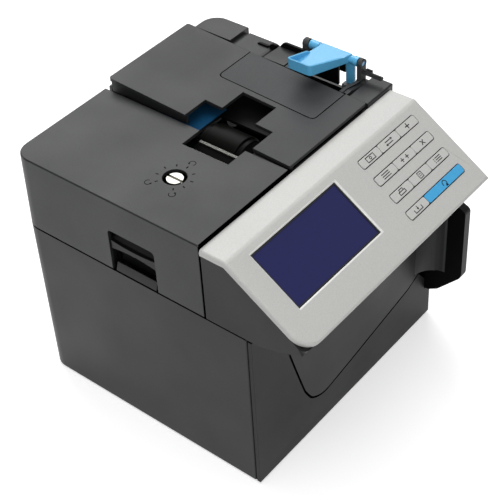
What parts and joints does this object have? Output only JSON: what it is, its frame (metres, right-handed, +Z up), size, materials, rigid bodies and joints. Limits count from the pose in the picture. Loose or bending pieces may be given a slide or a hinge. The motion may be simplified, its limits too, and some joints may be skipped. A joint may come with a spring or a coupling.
{
  "type": "banknote counting machine",
  "caption": "Desktop banknote counter with a tilted display and key pod, hinged top cover and hopper lid, blue lever, adjusting screw and a side stacker pocket.",
  "frame": {"origin": "middle of the bounding box's bottom, on the surface that the feet rest on", "axes": "+Z up, -Y towards the operator (the control pod and front cover), -X the left side with the cover's latch, +X the side with the stacker pocket"},
  "size_m": [0.215, 0.2526, 0.2292],
  "materials": {
    "black_abs": "fine moulded grain, satin",
    "grey_abs": "fine moulded grain, matte",
    "panel_abs": "light grey, fine grain",
    "inner_plastic": "moulded, plain",
    "navy_plastic": "smooth",
    "blue_plastic": "polished mould",
    "key_plastic": "smooth, satin",
    "latch_plastic": "fine moulded grain",
    "catch_plastic": "moulded",
    "finger_plastic": "soft moulded",
    "inlet_plastic": "moulded",
    "switch_plastic": "smooth",
    "lcd_glass": "clear over a blue display",
    "lcd_metal": "display cell and frame",
    "circuit_board": "solder mask",
    "sensor_board": "solder mask",
    "supply_board": "solder mask",
    "zinc_steel": "zinc plated sheet",
    "bright_steel": "ground",
    "nickel_steel": "nickel plated, turned",
    "strip_steel": "brushed",
    "motor_steel": "plated can",
    "aluminium": "turned",
    "bronze": "sintered",
    "drum_rubber": "ground rubber",
    "grip_rubber": "ground rubber",
    "belt_rubber": "moulded",
    "foot_rubber": "moulded"
  },
  "bodies": {
    "base": {"base_shell": "black_abs", "base_plate": "zinc_steel", "rubber_feet": "foot_rubber", "front_cover": "black_abs", "stacker_wall": "black_abs", "stacker_chute": "inner_plastic", "pod_shell": "black_abs", "control_panel": "panel_abs", "display_glass": "lcd_glass", "display_module": "lcd_metal", "key_board": "circuit_board", "cover_hinge_pins": "bright_steel", "top_frame": "grey_abs", "hopper_floor": "inner_plastic", "note_guide": "navy_plastic", "nip_plate": "inner_plastic", "guide_strips": "strip_steel", "lid_hinge_pins": "bright_steel", "front_side_plate": "zinc_steel", "rear_side_plate": "zinc_steel", "tie_bars": "bright_steel", "shaft_bushes": "bronze", "adjust_bridge": "zinc_steel", "drive_motor": "motor_steel", "drive_belts": "belt_rubber", "sensor_bar": "sensor_board", "main_board": "circuit_board", "power_supply": "supply_board", "power_inlet": "inlet_plastic", "switch_case": "inlet_plastic", "shell_screws": "zinc_steel"},
    "top_cover": {"top_cover": "grey_abs", "latch_pin": "bright_steel"},
    "cover_latch": {"cover_latch": "latch_plastic"},
    "hopper_lid": {"hopper_lid": "grey_abs", "lever_catch": "catch_plastic"},
    "hopper_flap": {"hopper_flap": "grey_abs"},
    "release_lever": {"release_lever": "blue_plastic"},
    "adjust_screw": {"adjust_screw": "nickel_steel"},
    "retard_carriage": {"retard_bracket": "inner_plastic", "retard_roller": "grip_rubber"},
    "feed_unit": {"feed_shaft": "bright_steel", "feed_drum": "drum_rubber"},
    "pickup_unit": {"pickup_shaft": "bright_steel", "pickup_rollers": "grip_rubber"},
    "stacker_unit": {"stacker_shaft": "bright_steel", "stacker_wheels": "finger_plastic"},
    "motor_rotor": {"motor_pulley": "aluminium"},
    "power_rocker": {"power_switch": "switch_plastic"},
    "key_currency": {"key_currency": "key_plastic"},
    "key_mode": {"key_mode": "key_plastic"},
    "key_add": {"key_add": "key_plastic"},
    "key_batch": {"key_batch": "key_plastic"},
    "key_ten": {"key_ten": "key_plastic"},
    "key_clear": {"key_clear": "key_plastic"},
    "key_print": {"key_print": "key_plastic"},
    "key_report": {"key_report": "key_plastic"},
    "key_menu": {"key_menu": "key_plastic"},
    "key_value": {"key_value": "key_plastic"},
    "key_reset": {"key_reset": "blue_plastic"}
  },
  "joints": [
    {"name": "cover_hinge", "type": "hinge", "parent": "base", "child": "top_cover", "pos_m": [-0.017, 0.03934, 0.1981], "axis": [0, 1, 0], "range_deg": [0, 75]},
    {"name": "latch_turn", "type": "hinge", "parent": "top_cover", "child": "cover_latch", "pos_m": [-0.099, 0.01874, 0.172], "axis": [0, 1, 0], "range_deg": [0, 9], "stiffness_Nm_per_rad": 0.15, "springref_deg": -6.88},
    {"name": "lid_hinge", "type": "hinge", "parent": "base", "child": "hopper_lid", "pos_m": [0.1005, 0.03934, 0.1975], "axis": [0, 1, 0], "range_deg": [0, 94]},
    {"name": "flap_hinge", "type": "hinge", "parent": "hopper_lid", "child": "hopper_flap", "pos_m": [0.1005, 0.00934, 0.1975], "axis": [0, 1, 0], "range_deg": [0, 30]},
    {"name": "lever_pivot", "type": "hinge", "parent": "hopper_flap", "child": "release_lever", "pos_m": [0.101, 0.00434, 0.2155], "axis": [0, -1, 0], "range_deg": [0, 12], "stiffness_Nm_per_rad": 0.04, "springref_deg": -11.46},
    {"name": "adjust_turn", "type": "hinge", "parent": "base", "child": "adjust_screw", "pos_m": [-0.0635, 0.01504, 0.19], "axis": [0, 0, 1], "range_deg": [-180, 180]},
    {"name": "retard_slide", "type": "slide", "parent": "base", "child": "retard_carriage", "axis": [0, 0, 1], "range_m": [-0.00062, 0.00062]},
    {"name": "feed_spin", "type": "hinge", "parent": "base", "child": "feed_unit", "pos_m": [-0.0025, 0.01934, 0.182], "axis": [0, 1, 0], "continuous": true},
    {"name": "pickup_spin", "type": "hinge", "parent": "base", "child": "pickup_unit", "pos_m": [0.0425, 0.01934, 0.181], "axis": [0, 1, 0], "continuous": true},
    {"name": "stacker_spin", "type": "hinge", "parent": "base", "child": "stacker_unit", "pos_m": [0.0285, 0.01934, 0.116], "axis": [0, 1, 0], "continuous": true},
    {"name": "motor_spin", "type": "hinge", "parent": "base", "child": "motor_rotor", "pos_m": [-0.0475, 0.10934, 0.06], "axis": [0, 1, 0], "continuous": true},
    {"name": "power_rock", "type": "hinge", "parent": "base", "child": "power_rocker", "pos_m": [-0.0415, 0.11934, 0.03], "axis": [-1, 0, 0], "range_deg": [0, 14]},
    {"name": "key_currency_press", "type": "slide", "parent": "base", "child": "key_currency", "axis": [0, 0.5476, -0.8368], "range_m": [0, 0.0007], "stiffness_N_per_m": 400, "springref_m": -0.0004},
    {"name": "key_mode_press", "type": "slide", "parent": "base", "child": "key_mode", "axis": [0, 0.5476, -0.8368], "range_m": [0, 0.0007], "stiffness_N_per_m": 400, "springref_m": -0.0004},
    {"name": "key_add_press", "type": "slide", "parent": "base", "child": "key_add", "axis": [0, 0.5476, -0.8368], "range_m": [0, 0.0007], "stiffness_N_per_m": 400, "springref_m": -0.0004},
    {"name": "key_batch_press", "type": "slide", "parent": "base", "child": "key_batch", "axis": [0, 0.5476, -0.8368], "range_m": [0, 0.0007], "stiffness_N_per_m": 400, "springref_m": -0.0004},
    {"name": "key_ten_press", "type": "slide", "parent": "base", "child": "key_ten", "axis": [0, 0.5476, -0.8368], "range_m": [0, 0.0007], "stiffness_N_per_m": 400, "springref_m": -0.0004},
    {"name": "key_clear_press", "type": "slide", "parent": "base", "child": "key_clear", "axis": [0, 0.5476, -0.8368], "range_m": [0, 0.0007], "stiffness_N_per_m": 400, "springref_m": -0.0004},
    {"name": "key_print_press", "type": "slide", "parent": "base", "child": "key_print", "axis": [0, 0.5476, -0.8368], "range_m": [0, 0.0007], "stiffness_N_per_m": 400, "springref_m": -0.0004},
    {"name": "key_report_press", "type": "slide", "parent": "base", "child": "key_report", "axis": [0, 0.5476, -0.8368], "range_m": [0, 0.0007], "stiffness_N_per_m": 400, "springref_m": -0.0004},
    {"name": "key_menu_press", "type": "slide", "parent": "base", "child": "key_menu", "axis": [0, 0.5476, -0.8368], "range_m": [0, 0.0007], "stiffness_N_per_m": 400, "springref_m": -0.0004},
    {"name": "key_value_press", "type": "slide", "parent": "base", "child": "key_value", "axis": [0, 0.5476, -0.8368], "range_m": [0, 0.0007], "stiffness_N_per_m": 400, "springref_m": -0.0004},
    {"name": "key_reset_press", "type": "slide", "parent": "base", "child": "key_reset", "axis": [0, 0.5476, -0.8368], "range_m": [0, 0.0007], "stiffness_N_per_m": 400, "springref_m": -0.0004}
  ],
  "couplings": [
    {"joint": "pickup_spin", "follows": "feed_spin", "ratio": 1},
    {"joint": "stacker_spin", "follows": "feed_spin", "ratio": 0.5},
    {"joint": "motor_spin", "follows": "feed_spin", "ratio": 1.25},
    {"joint": "adjust_turn", "follows": "retard_slide", "rad_per_m": -5026.5}
  ]
}
